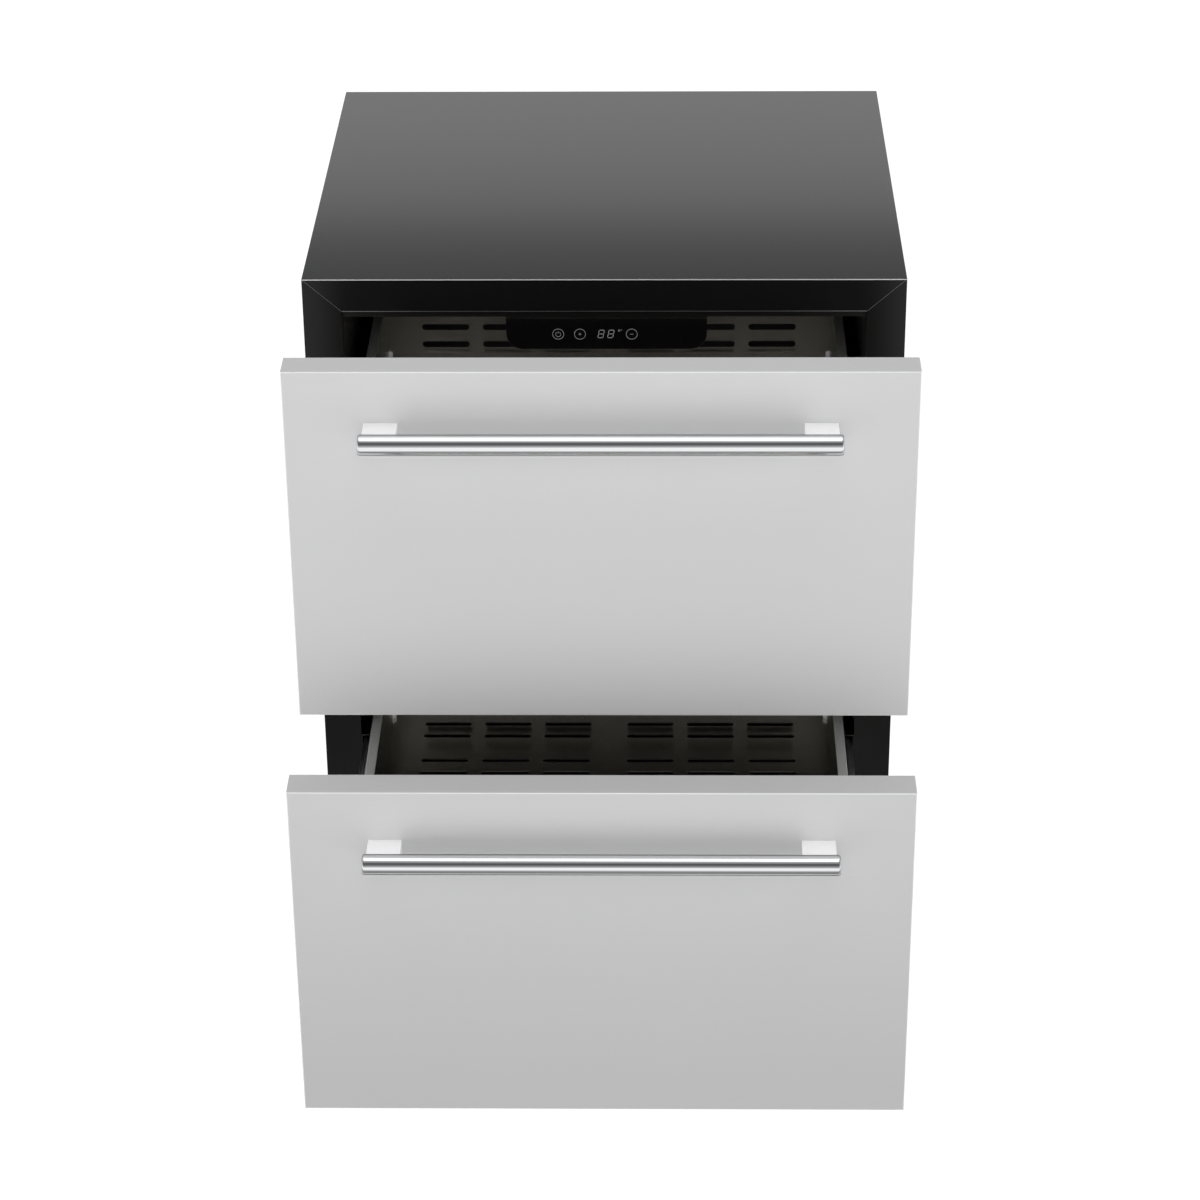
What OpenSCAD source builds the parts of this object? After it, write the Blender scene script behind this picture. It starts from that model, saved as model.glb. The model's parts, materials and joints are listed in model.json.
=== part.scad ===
// Undercounter drawer refrigerator: a free-standing black steel case with two stainless
// drawers one above the other, on ball-bearing slides, and its cooling machinery below.
// +Z is up, the drawers open towards -Y. The floor is Z = 0. Both drawers are drawn part open.

/* [Cabinet] */
// overall width of the case and of the drawer fronts
cab_w = 595; // [560:1:900]
// overall height on the screwed-in feet
cab_h = 865; // [845:1:920]
// sheet thickness of the case, base, deck and rails
sheet_t = 1.2; // [0.8:0.1:2]
// width of the front flange beside the opening
flange_w = 38; // [34:1:48]
// height of the front flange above the opening
flange_top = 34; // [30:1:42]
// clear height under the base pan
base_z = 20; // [16:1:22]
// height of the machine compartment's ceiling above the floor
deck_z = 225; // [225:1:235]
// thickness of the insulation under the cavity
floor_foam = 34.5; // [30:0.5:50]
// thickness of the insulation behind the cavity
rear_foam = 32.3; // [25:0.1:60]
// depth of the evaporator's space behind the cavity's rear cover
evap_space = 47; // [40:1:70]
// thickness of the cavity liner
liner_t = 1.5; // [1:0.1:2.5]

/* [Drawer fronts] */
// height of the lower front's bottom edge above the floor
lower_edge = 122; // [100:1:150]
// thickness of each front
front_t = 33; // [28:1:40]
// gap between the two fronts
front_gap = 4; // [3:0.5:6]
// drop of the upper front's top edge below the top of the case
front_drop = 3; // [2:0.5:6]
// thickness of the seal behind each front
gasket_t = 10.7; // [8:0.1:14]
// width of the seal strip
gasket_w = 12; // [10:1:13]
// distance of the seals from the facing edges of the two fronts
seal_inset = 7; // [6:0.5:12]
// thickness of the stainless skin
skin_t = 1; // [0.6:0.1:1.5]

/* [Drawer boxes and travel] */
// clearance between the lower box and the cavity's floor
floor_gap = 24; // [20:1:40]
// height of the box sides above the box floor
box_h = 73; // [60:1:80]
// inner depth of the box, front to back
box_d = 460; // [440:1:460]
// width of the folded side rims
rim_w = 10; // [8:1:14]
// sheet thickness of the boxes
box_t = 1.2; // [0.8:0.1:1.5]
// full travel of each drawer
travel = 400; // [380:5:400]
// how far the upper drawer stands open
upper_open = 169.5; // [0:0.5:400]
// how far the lower drawer stands open
lower_open = 308; // [0:0.5:400]
// length of the ventilation slots
slot_l = 51; // [40:1:54]
// width of the ventilation slots
slot_w = 7; // [5:0.5:9]

/* [Handles] */
// length of the round bar
bar_l = 451; // [380:1:480]
// radius of the round bar
bar_r = 9.75; // [8:0.25:11]
// distance of the bar's axis below the top of its front
bar_drop = 60; // [50:0.5:80]
// distance of the bar's axis in front of the face
bar_out = 31; // [28:0.5:40]
// width of each flat post
post_w = 32; // [24:1:40]
// height of each flat post
post_h = 16; // [12:0.5:18]
// distance from the bar's end to its post
post_in = 3.5; // [2:0.5:30]

/* [Slides] */
// side space taken by one slide
slide_t = 12; // [12:0.5:14]
// height of the outer slide member
slide_h = 45; // [44:1:50]
// length of the outer and inner slide members
slide_l = 444; // [430:1:446]
// radius of the bearing balls
ball_r = 2.3; // [2.2:0.05:2.4]
// balls in one race
race_balls = 8; // [4:1:10]

/* [Controls] */
// width of the control panel under the cavity's ceiling
panel_w = 200; // [160:2:240]
// height of the control panel
panel_h = 42; // [34:1:46]

/* [Machinery] */
// radius of the compressor shell
comp_r = 68; // [60:1:72]
// radius of the evaporator fan
evap_fan_r = 42; // [36:1:46]
// radius of the condenser fan
cond_fan_r = 66; // [55:1:68]

/* [Hidden] */
$fn = 64;

cavity_z = deck_z + floor_foam + liner_t; // top of the cavity's floor
half_w = cab_w / 2;
in_w = half_w - sheet_t;              // inside of the case's side
lip_w = half_w - flange_w;            // half width of the front opening
liner_w = lip_w + 0.5;                // half width of the cavity
flange_z = cab_h - flange_top;        // top of the front opening
lip_h = 8;                            // step down from there to the cavity's ceiling
lip_d = 5.2;                          // and its distance behind the flange
lip_z = flange_z - lip_h;             // ceiling of the cavity
base_top = base_z + 1.5;              // upper face of the base pan
seal = gasket_t + 0.3;                // front's back plane from the flange, shut

front_h = (cab_h - front_drop - front_gap - lower_edge) / 2;
upper_top = cab_h - front_drop;
lower_top = upper_top - front_h - front_gap;
rail_z = lower_top + front_gap / 2;   // middle of the rail between the drawers
rail_h = 2 * (seal_inset + gasket_w) + front_gap + 2;
floor_drop = lower_top - cavity_z - floor_gap; // box floor below the top of its front
rim_drop = floor_drop - box_h;
back_reach = max(upper_open, lower_open) + seal + front_t + bar_out + bar_r;

box_w = liner_w - slide_t;            // outer half width of a box
box_in = box_w - rim_w;               // inner half width of a box
box_front = -seal;                    // front end of a box, shut
box_back = box_front + box_d;         // inner face of its back wall, shut
slide_up = box_h / 2;                 // slide axis above the box floor

row_0 = 14.5;                         // first slots from the back wall and from the floor
row_gap = 25.5;                       // between the two rows of a pair
row_pitch = 77;                       // between pairs
slot_x = [for (x = [slot_l - 6:slot_l + 14.5:box_in - slot_l / 2]) x];

cover_gap = 9;                        // room behind a shut box
cover_y = box_back + cover_gap;       // front face of the cavity's rear cover
cavity_d = cover_y + evap_space;
cab_d = cavity_d + liner_t + rear_foam + sheet_t; // front flange to rear panel
y_mid = (cab_d - back_reach) / 2;     // the origin is midway along the resting part

panel_x = 2;                          // the panel stands this far right of the middle
cover_t = 1.5;                        // sheet of the rear cover
cover_in = 4;                         // its gap to the cavity's sides
cover_foot = 12;                      // its bottom edge above the cavity's floor
cover_head = 6;                       // its top edge below the cavity's ceiling
evap_y = (cover_y + cover_t + cavity_d) / 2;
evap_rows = 7;
evap_pitch = 30;
evap_side = 64.5;                     // room beside the fins, for the bends
evap_x = liner_w + 0.5 - evap_side;
evap_z = cavity_z + 45;
evap_top = evap_z + (evap_rows - 1) * evap_pitch;
evap_r = 4;                           // evaporator and suction tube
line_r = 3.2;                         // condenser, discharge and liquid tube
fin_t = 0.8;
fan_z = lip_z - 177;
evap_fan_t = 25;
cond_fan_t = 34;
fan_seat = 0.6;                       // rotor's gap to its frame's front plane

cond_rows = 8;
cond_pitch = 19;
cond_x0 = -in_w + 48.3;
cond_x1 = cond_x0 + 288;
cond_z = base_top + 28;               // lowest tube
cond_y = 45;
cond_mid_x = (cond_x0 + cond_x1) / 2;
cond_mid_z = base_top + 5 + cond_fan_r + 8;
cond_fan_y = 95;

comp_x = cond_x1 + 105;
comp_y = cab_d - 240;
grommet_h = 20;
comp_z = base_top + grommet_h;
comp_h = 88;                          // straight part of the shell
bolt_x = comp_r - 3;                  // compressor feet from its axis
bolt_y = comp_r - 26;
drain_x = 0;
drain_y = cavity_d - 14;
drain_r = 6.2;
drain_z = 80;                         // open end above the tray
tray_h = 34;
riser_in = 22;                        // pipe risers from the cavity's sides
riser_x = liner_w - riser_in;
riser_hole = 5;
gland_x = half_w - 82.5;
gland_r = 4.5;
gland_l = 24;
gland_z = 110;
foot_in = 42;                         // feet from the case's sides
foot_end = 45;                        // and from its front and back
foot_x = half_w - foot_in;
foot_y0 = foot_end;
foot_y1 = cab_d - foot_end;
foot_r = 5;
foot_pad = 19;
run_fit = 0.05;

// ---- shared helpers: y is measured back from the case's front flange ----

module at(x, y, z) translate([x, y - y_mid, z]) children();
module slab(x, y, z) at(x[0], y[0], z[0]) cube([x[1] - x[0], y[1] - y[0], z[1] - z[0]]);
module both() { children(); mirror([1, 0, 0]) children(); }
module side(s) { if (s > 0) children(); else mirror([1, 0, 0]) children(); }
module slide_by(d) translate([0, -d, 0]) children();

// a slot with round ends, long way along x, cut along z or y
module slot_z(x, y, z, l, w, h) at(x, y, z) {
    translate([-l / 2 + w / 2, -w / 2, 0]) cube([l - w, w, h]);
    for (s = [-1, 1]) translate([s * (l - w) / 2, 0, 0]) cylinder(r = w / 2, h = h);
}
module slot_y(x, y, z, l, w, h) at(x, y, z) rotate([-90, 0, 0]) {
    translate([-l / 2 + w / 2, -w / 2, 0]) cube([l - w, w, h]);
    for (s = [-1, 1]) translate([s * (l - w) / 2, 0, 0]) cylinder(r = w / 2, h = h);
}

// a straight tube between two points, and a line of them with round corners
module rod(a, b, r) {
    d = b - a;
    at(a[0], a[1], a[2]) rotate([0, acos(d[2] / norm(d)), atan2(d[1], d[0])])
        cylinder(r = r, h = norm(d));
}
module pipe(p, r) {
    for (i = [0:len(p) - 2]) rod(p[i], p[i + 1], r);
    for (i = [1:len(p) - 2]) at(p[i][0], p[i][1], p[i][2]) sphere(r = r);
}
// half a ring in the x-z plane that opens towards s * x
module u_bend(x, y, z, pitch, r, s) at(x, y, z) rotate([90, 0, 0])
    rotate([0, 0, s > 0 ? -90 : 90]) rotate_extrude(angle = 180) translate([pitch / 2, 0]) circle(r = r);

// a tube folded back and forth through a row of fins
module finned_coil(x0, x1, y, z, rows, pitch, r, fin_d, fin_step, fin_t) {
    for (i = [0:rows - 1]) rod([x0, y, z + i * pitch], [x1, y, z + i * pitch], r);
    for (i = [0:rows - 2])
        u_bend(i % 2 == 0 ? x0 : x1, y, z + (i + 0.5) * pitch, pitch, r, i % 2 == 0 ? -1 : 1);
    for (x = [x0 + 8:fin_step:x1 - 8])
        slab([x, x + fin_t], [y - fin_d / 2, y + fin_d / 2],
            [z - pitch / 2, z + (rows - 0.5) * pitch]);
}

// a ring frame of an axial fan: a square plate with a round throat, four arms and a motor cup
module fan_frame_at(x, y, z, r, t) {
    difference() {
        slab([x - r - 4, x + r + 4], [y, y + t], [z - r - 4, z + r + 4]);
        at(x, y - 1, z) rotate([-90, 0, 0]) cylinder(r = r + 1.5, h = t + 2);
        for (i = [-1, 1], k = [-1, 1]) at(x + i * (r - 1), y - 1, z + k * (r - 1))
            rotate([-90, 0, 0]) cylinder(r = 2.2, h = t + 2);
    }
    at(x, y + t - 2.5, z) rotate([-90, 0, 0]) difference() {
        union() {
            cylinder(r = r * 0.3, h = 2.5);
            for (a = [45:90:315]) rotate([0, 0, a]) translate([r * 0.2, -2.5, 0.2])
                cube([r * 0.8 + 2.5, 5, 2.1]);
        }
        translate([0, 0, -1]) cylinder(r = 2.05, h = 5);
    }
}
// its rotor: a hub with pitched blades, on a short shaft that runs in the motor cup
module fan_rotor_at(x, y, z, r, t, blades) at(x, y, z) rotate([-90, 0, 0]) {
    cylinder(r = r * 0.3, h = t - 3.2);
    cylinder(r = 2, h = t - 0.6);
    intersection() {
        for (i = [0:blades - 1]) rotate([0, 0, i * 360 / blades]) translate([r * 0.25, 0, (t - 4) / 2])
            rotate([38, 0, 0]) translate([0, -r * 0.22, -0.7]) cube([r, r * 0.44, 1.4]);
        cylinder(r = r - 1, h = t - 3.6);
    }
}

// ---- cabinet ----

module outer_case() color([0.05, 0.05, 0.055]) difference() {
    slab([-half_w, half_w], [0, cab_d], [base_z, cab_h]);
    slab([-in_w, in_w], [sheet_t, cab_d + 1], [base_z - 1, cab_h - sheet_t]);
    slab([-lip_w, lip_w], [-1, sheet_t + 1], [base_z - 1, flange_z]);
    // fold lines of the mitred corners
    both() at(half_w, 0, cab_h) rotate([0, atan2(flange_top, flange_w), 0])
        translate([-norm([flange_w, flange_top]) - 2, -0.4, -0.3])
            cube([norm([flange_w, flange_top]) + 4, 0.8, 0.6]);
}

// closing sheet with two pressed stiffening channels and a rim of screw holes
module rear_panel() color([0.55, 0.56, 0.57]) difference() {
    slab([-in_w, in_w], [cab_d - sheet_t, cab_d], [deck_z, cab_h - sheet_t]);
    for (x = [-in_w / 3, in_w / 3])
        slab([x - 9, x + 9], [cab_d - sheet_t / 2, cab_d + 1], [deck_z + 40, cab_h - 40]);
    for (x = [-in_w + 12, in_w - 12], k = [0:4])
        at(x, cab_d - sheet_t / 2, deck_z + 14 + k * (cab_h - deck_z - 28) / 4)
            rotate([-90, 0, 0]) cylinder(r = 1.6, h = 4);
}

module base_pan() color([0.5, 0.5, 0.52]) difference() {
    union() {
        difference() {
            slab([-in_w, in_w], [4, cab_d - sheet_t], [base_z, base_z + 26]);
            slab([-in_w + 1.5, in_w - 1.5], [5.5, cab_d], [base_top, base_z + 30]);
        }
        for (x = [-foot_x, foot_x], y = [foot_y0, foot_y1])
            at(x, y, base_z) cylinder(r = 9, h = 16);
        for (i = [-1, 1], k = [-1, 1])
            at(comp_x + i * bolt_x, comp_y + k * bolt_y, base_z) cylinder(r = 3.5, h = grommet_h + 4);
    }
    for (x = [-foot_x, foot_x], y = [foot_y0, foot_y1])
        at(x, y, base_z - 1) cylinder(r = foot_r + run_fit, h = 20);
}

// the lower front rail and the machine compartment's ceiling, one folded sheet
module machine_deck() color([0.05, 0.05, 0.055]) difference() {
    union() {
        slab([-lip_w, lip_w], [0, sheet_t], [deck_z - sheet_t, cavity_z]);
        slab([-in_w, in_w], [sheet_t, cab_d - sheet_t], [deck_z - sheet_t, deck_z]);
    }
    at(drain_x, drain_y, deck_z - 5) cylinder(r = drain_r + 0.3, h = 10);
    for (x = [-riser_x, riser_x]) at(x, evap_y, deck_z - 5) cylinder(r = riser_hole, h = 10);
}

module insulation_foam() color([0.93, 0.86, 0.6]) difference() {
    slab([-in_w, in_w], [sheet_t, cab_d - sheet_t], [deck_z, cab_h - sheet_t]);
    slab([-liner_w - liner_t, liner_w + liner_t], [0, cavity_d + liner_t],
        [cavity_z - liner_t, lip_z + liner_t]);
    slab([-liner_w - liner_t, liner_w + liner_t], [0, lip_d + liner_t],
        [cavity_z, flange_z + liner_t]);
    at(drain_x, drain_y, deck_z - 5) cylinder(r = drain_r + 0.3, h = floor_foam + 10);
    for (x = [-riser_x, riser_x]) at(x, evap_y, deck_z - 5) cylinder(r = riser_hole, h = floor_foam + 10);
}

// a deep tub, its ceiling stepped down behind the front flange
module inner_liner() color([0.03, 0.03, 0.035]) difference() {
    union() {
        slab([-liner_w - liner_t, liner_w + liner_t], [sheet_t, cavity_d + liner_t],
            [cavity_z - liner_t, lip_z + liner_t]);
        slab([-liner_w - liner_t, liner_w + liner_t], [sheet_t, lip_d + liner_t],
            [cavity_z, flange_z + liner_t]);
    }
    slab([-liner_w, liner_w], [0, cavity_d], [cavity_z, lip_z]);
    slab([-liner_w, liner_w], [0, lip_d], [cavity_z, flange_z]);
    at(drain_x, drain_y, cavity_z - 10) cylinder(r = drain_r + 0.3, h = 20);
    for (x = [-riser_x, riser_x]) at(x, evap_y, cavity_z - 10) cylinder(r = riser_hole, h = 20);
}

module centre_rail() color([0.05, 0.05, 0.055]) difference() {
    slab([-lip_w, lip_w], [0, 28], [rail_z - rail_h / 2, rail_z + rail_h / 2]);
    slab([-lip_w - 1, lip_w + 1], [sheet_t, 30],
        [rail_z - rail_h / 2 + sheet_t, rail_z + rail_h / 2 - sheet_t]);
}

// cover over the evaporator, with its cold-air and return slots
module duct_cover() color([0.08, 0.08, 0.085]) difference() {
    slab([-liner_w + cover_in, liner_w - cover_in], [cover_y, cavity_d],
        [cavity_z + cover_foot, lip_z - cover_head]);
    slab([-liner_w + cover_in + cover_t, liner_w - cover_in - cover_t],
        [cover_y + cover_t, cavity_d + 1],
        [cavity_z + cover_foot + cover_t, lip_z - cover_head - cover_t]);
    for (x = [-riser_x, riser_x]) at(x, evap_y, cavity_z) cylinder(r = riser_hole, h = 2 * cover_foot);
    for (i = [-3:3], k = [0:2])
        slot_y(i * 64, cover_y - 1, lip_z - 30 - k * 16, 48, 7, 4);
    for (i = [-3:3], k = [0:1])
        slot_y(i * 64, cover_y - 1, cavity_z + 30 + k * 16, 48, 7, 4);
    for (i = [-1, 1], k = [-1:1])
        slot_y(i * 120, cover_y - 1, rail_z + k * 14, 60, 6, 4);
}

module panel_outline(w, h, r) union() {
    translate([-w / 2 + r, 0]) square([w - 2 * r, h]);
    translate([-w / 2, r]) square([w, h - r]);
    for (s = [-1, 1]) translate([s * (w / 2 - r), r]) circle(r = r);
}

module control_housing() color([0.04, 0.04, 0.045]) at(panel_x, 78, lip_z - panel_h) rotate([90, 0, 0])
    difference() {
        linear_extrude(55) panel_outline(panel_w, panel_h, 17);
        translate([0, 2, 2]) linear_extrude(60) panel_outline(panel_w - 4, panel_h, 15);
    }

module control_panel() color([0.01, 0.01, 0.012]) at(panel_x, 23, lip_z - panel_h) rotate([90, 0, 0])
    linear_extrude(3) panel_outline(panel_w, panel_h, 17);

module control_board() color([0.05, 0.3, 0.12]) translate([panel_x, 0, 0]) {
    slab([-80, 80], [26, 27.6], [lip_z - panel_h + 6, lip_z - 8]);
    slab([-18, 18], [23, 26], [lip_z - panel_h + 9, lip_z - 12]);
    for (x = [-52, 52]) slab([x - 6, x + 6], [27.6, 36], [lip_z - panel_h + 10, lip_z - 16]);
    for (x = [-74, 74]) at(x, 23, lip_z - panel_h / 2) rotate([-90, 0, 0]) cylinder(r = 2.5, h = 3);
}

module light_lens() color([0.92, 0.94, 0.96]) union() {
    slab([-60, 60], [110, 134], [lip_z - 6, lip_z]);
    for (s = [-1, 1]) at(s * 60, 122, lip_z - 6) cylinder(r = 12, h = 6);
}

// ---- cooling ----

module evaporator_coil() color([0.75, 0.76, 0.78]) {
    finned_coil(-evap_x, evap_x, evap_y, evap_z, evap_rows, evap_pitch, evap_r, evap_space - 17, 20, fin_t);
    rod([evap_x, evap_y, evap_z], [riser_x - 8, evap_y, evap_z], evap_r);
    rod([-evap_x, evap_y, evap_top], [-riser_x + 8, evap_y, evap_top], evap_r);
}

module evaporator_fan_frame() color([0.1, 0.1, 0.11])
    fan_frame_at(0, cover_y + cover_t, fan_z, evap_fan_r, evap_fan_t);
module evaporator_fan() color([0.15, 0.15, 0.16])
    fan_rotor_at(0, cover_y + cover_t + fan_seat, fan_z, evap_fan_r, evap_fan_t - 1, 7);

module drain_tube() color([0.85, 0.86, 0.88]) difference() {
    union() {
        at(drain_x, drain_y, drain_z) cylinder(r = drain_r, h = cavity_z + 0.8 - drain_z);
        at(drain_x, drain_y, cavity_z) cylinder(r = drain_r + 3.3, h = 0.8);
    }
    at(drain_x, drain_y, drain_z - 10) cylinder(r = drain_r - 1.4, h = cavity_z);
}

module evaporation_tray() color([0.12, 0.12, 0.13]) difference() {
    slab([-110, 50], [drain_y - 70, drain_y + 35], [base_top, base_top + tray_h]);
    slab([-108, 48], [drain_y - 68, drain_y + 33], [base_top + 2, base_top + tray_h + 6]);
}

module compressor() color([0.06, 0.06, 0.065]) {
    dome_r = comp_r * 1.4;
    at(comp_x, comp_y, comp_z + 2.5) cylinder(r = comp_r, h = comp_h);
    at(comp_x, comp_y, comp_z + 2.5 + comp_h) intersection() {
        cylinder(r = comp_r, h = comp_r);
        translate([0, 0, -sqrt(dome_r * dome_r - comp_r * comp_r)]) sphere(r = dome_r);
    }
    at(comp_x, comp_y, comp_z + comp_h / 2) cylinder(r = comp_r + 2.5, h = 5);
    difference() {
        slab([comp_x - bolt_x - 11, comp_x + bolt_x + 11], [comp_y - bolt_y - 11, comp_y + bolt_y + 11],
            [comp_z, comp_z + 2.5]);
        for (i = [-1, 1], k = [-1, 1])
            at(comp_x + i * bolt_x, comp_y + k * bolt_y, comp_z - 1) cylinder(r = 4.5, h = 6);
    }
    slab([comp_x - 26, comp_x + 26], [comp_y - comp_r - 20, comp_y - comp_r + 6],
        [comp_z + 12, comp_z + 40]);
    rod([comp_x - comp_r + 4, comp_y + 20, comp_z + 70], [comp_x - comp_r - 8, comp_y + 20, comp_z + 70], 4);
    rod([comp_x, comp_y + comp_r - 4, comp_z + 70], [comp_x, comp_y + comp_r + 8, comp_z + 70], 4.5);
}

module compressor_grommets() color([0.05, 0.05, 0.05]) for (i = [-1, 1], k = [-1, 1])
    at(comp_x + i * bolt_x, comp_y + k * bolt_y, base_top) difference() {
        cylinder(r = 10, h = grommet_h);
        translate([0, 0, -1]) cylinder(r = 3.6, h = grommet_h + 2);
    }

module condenser_coil() color([0.1, 0.1, 0.11])
    finned_coil(cond_x0 + 14, cond_x1 - 14, cond_y, cond_z, cond_rows, cond_pitch, line_r, 36, 14, fin_t);

module condenser_fan_frame() color([0.1, 0.1, 0.11]) {
    fan_frame_at(cond_mid_x, cond_fan_y, cond_mid_z, cond_fan_r, cond_fan_t);
    slab([cond_mid_x - cond_fan_r - 4, cond_mid_x + cond_fan_r + 4],
        [cond_fan_y + 1, cond_fan_y + cond_fan_t - 1], [base_top, cond_mid_z - cond_fan_r - 4]);
}
module condenser_fan() color([0.15, 0.15, 0.16])
    fan_rotor_at(cond_mid_x, cond_fan_y + fan_seat, cond_mid_z, cond_fan_r, cond_fan_t - 1, 5);

// discharge, liquid and suction lines, with the filter drier
module refrigerant_pipes() color([0.72, 0.42, 0.26]) {
    low = cond_z;
    pipe([[comp_x - comp_r - 8, comp_y + 20, comp_z + 70], [comp_x - comp_r - 24, comp_y + 20, comp_z + 70],
        [comp_x - comp_r - 24, cond_y, comp_z + 70], [comp_x - comp_r - 24, cond_y, low],
        [cond_x1 - 14, cond_y, low]], line_r);
    // liquid line from the condenser's top to the drier and up to the evaporator
    pipe([[cond_x1 - 14, cond_y, low + 7 * cond_pitch], [cond_x1, cond_y, low + 7 * cond_pitch],
        [cond_x1, cond_y + 35, low + 7 * cond_pitch]], line_r);
    rod([cond_x1, cond_y + 34, low + 7 * cond_pitch], [cond_x1, cond_y + 130, low + 7 * cond_pitch], 9);
    pipe([[cond_x1, cond_y + 129, low + 7 * cond_pitch], [cond_x1, evap_y - 40, low + 7 * cond_pitch],
        [-riser_x, evap_y - 40, low + 7 * cond_pitch], [-riser_x, evap_y, low + 7 * cond_pitch],
        [-riser_x, evap_y, evap_top], [-riser_x + 8, evap_y, evap_top]], line_r);
    // suction line from the evaporator's bottom back to the compressor
    pipe([[riser_x - 8, evap_y, evap_z], [riser_x, evap_y, evap_z], [riser_x, evap_y, comp_z + 110],
        [riser_x, evap_y - 60, comp_z + 110], [comp_x, evap_y - 60, comp_z + 110],
        [comp_x, evap_y - 60, comp_z + 70], [comp_x, comp_y + comp_r + 8, comp_z + 70]], evap_r);
}

module power_box() color([0.08, 0.08, 0.085]) difference() {
    union() {
        slab([gland_x - 50, gland_x + 40], [cab_d - 70, cab_d - sheet_t], [gland_z - 34, gland_z + 34]);
        at(gland_x, cab_d - 14, gland_z) rotate([-90, 0, 0]) cylinder(r = 2 * gland_r, h = 14);
    }
    at(gland_x, cab_d - gland_l, gland_z) rotate([-90, 0, 0]) cylinder(r = gland_r, h = gland_l + 6);
}

module rear_grille() color([0.1, 0.1, 0.11]) difference() {
    slab([-in_w, in_w], [cab_d - sheet_t, cab_d], [base_z + 0.5, deck_z]);
    for (i = [-2:1], k = [0:8])
        slot_y(i * 110 + 20, cab_d - 5, base_z + 38 + k * 19, 90, 7, 10);
    at(gland_x, cab_d - 5, gland_z) rotate([-90, 0, 0]) cylinder(r = 2 * gland_r + 0.1, h = 10);
}

module front_grille() color([0.05, 0.05, 0.055]) difference() {
    slab([-lip_w + 0.1, lip_w - 0.1], [0, 1.5], [base_z + 2, deck_z - sheet_t - 0.1]);
    for (i = [-1, 1], k = [0:10])
        slot_y(i * 122, -5, base_z + 22 + k * 16, 210, 7, 10);
}

module foot(x, y) color([0.09, 0.09, 0.095]) {
    at(x, y, 0) cylinder(r = foot_pad, h = 6);
    at(x, y, 6) cylinder(r1 = foot_pad, r2 = 11, h = 5);
    at(x, y, 11) cylinder(r = 11, h = base_z - 11.3);
    at(x, y, 11) cylinder(r = foot_r, h = base_z + 30);
}
module foot_front_left() foot(-foot_x, foot_y0);
module foot_front_right() foot(foot_x, foot_y0);
module foot_rear_left() foot(-foot_x, foot_y1);
module foot_rear_right() foot(foot_x, foot_y1);

// ---- slides: u runs out from the box's side, v up from the slide's axis ----

web = 1.2;
out_v = slide_h / 2 - web;            // inside faces of the outer member's flanges
mid_v = out_v - 4.1;                  // outside faces of the middle member's flanges
in_v = mid_v - web - 4.1;             // outside faces of the inner member's flanges
out_ball_v = (out_v + mid_v) / 2;
in_ball_v = (mid_v - web + in_v) / 2;
out_ball_u = 6.8;
in_ball_u = 4.6;
cage_y = travel / 4 + 10;             // stays on its races at both ends of the travel
cage_l = slide_l - travel / 2 - 14;
fit = 0.03;
screw_0 = 37;                         // first screw hole from the front flange
screw_pitch = 96;
screw_r = 2.3;

module along(u, v, y, l) at(box_w + u, y, v) rotate([-90, 0, 0]) children();
// the running groove that a line of balls leaves in a flange
module groove(u, v, zc) both_v(zc) at(box_w + u, -600, v) rotate([-90, 0, 0])
    cylinder(r = ball_r + fit, h = 1800);
module both_v(zc) { translate([0, 0, zc]) children(); translate([0, 0, zc]) mirror([0, 0, 1]) children(); }
module channel(u, y, zc, h, t) difference() {
    slab([box_w + u[0], box_w + u[1]], y, [zc - h, zc + h]);
    slab([box_w + t[0], box_w + t[1]], [y[0] - 1, y[1] + 1], [zc - h + web, zc + h - web]);
}

// a round-ended window through a member's web, long way along y
module window(y, zc, l, w) at(box_w - 1, y, zc) rotate([0, 90, 0]) {
    translate([-w / 2, -l / 2 + w / 2, 0]) cube([w, l - w, slide_t + 2]);
    for (k = [-1, 1]) translate([0, k * (l - w) / 2, 0]) cylinder(r = w / 2, h = slide_t + 2);
}
module screw_row(zc) for (y = [screw_0:screw_pitch:slide_l - 20])
    at(box_w - 1, y, zc) rotate([0, 90, 0]) cylinder(r = screw_r, h = slide_t + 2);

module outer_slide(s, zc) color([0.78, 0.79, 0.8]) side(s) difference() {
    channel([3, slide_t], [4, 4 + slide_l], zc, slide_h / 2, [2, slide_t - web]);
    groove(out_ball_u, out_ball_v, zc);
    screw_row(zc);
    for (y = [screw_0 + screw_pitch / 2:screw_pitch:slide_l - 40]) window(y, zc, 12, 4.5);
}
module middle_slide(s, zc, open) color([0.74, 0.75, 0.77]) slide_by(open / 2) side(s) difference() {
    channel([3, 9.4], [6, 2 + slide_l], zc, mid_v, [2, 9.4 - web]);
    groove(out_ball_u, out_ball_v, zc);
    groove(in_ball_u, in_ball_v, zc);
    for (y = [screw_0 + screw_pitch / 2:screw_pitch:slide_l - 40]) window(y, zc, 60, 9);
}
module inner_slide(s, zc, open) color([0.78, 0.79, 0.8]) slide_by(open) side(s) difference() {
    channel([0, 6.9], [4, 4 + slide_l], zc, in_v, [web, 8]);
    groove(in_ball_u, in_ball_v, zc);
    screw_row(zc);
    for (y = [screw_0 + screw_pitch / 2:screw_pitch:slide_l - 40]) window(y, zc, 14, 4.5);
}
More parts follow.
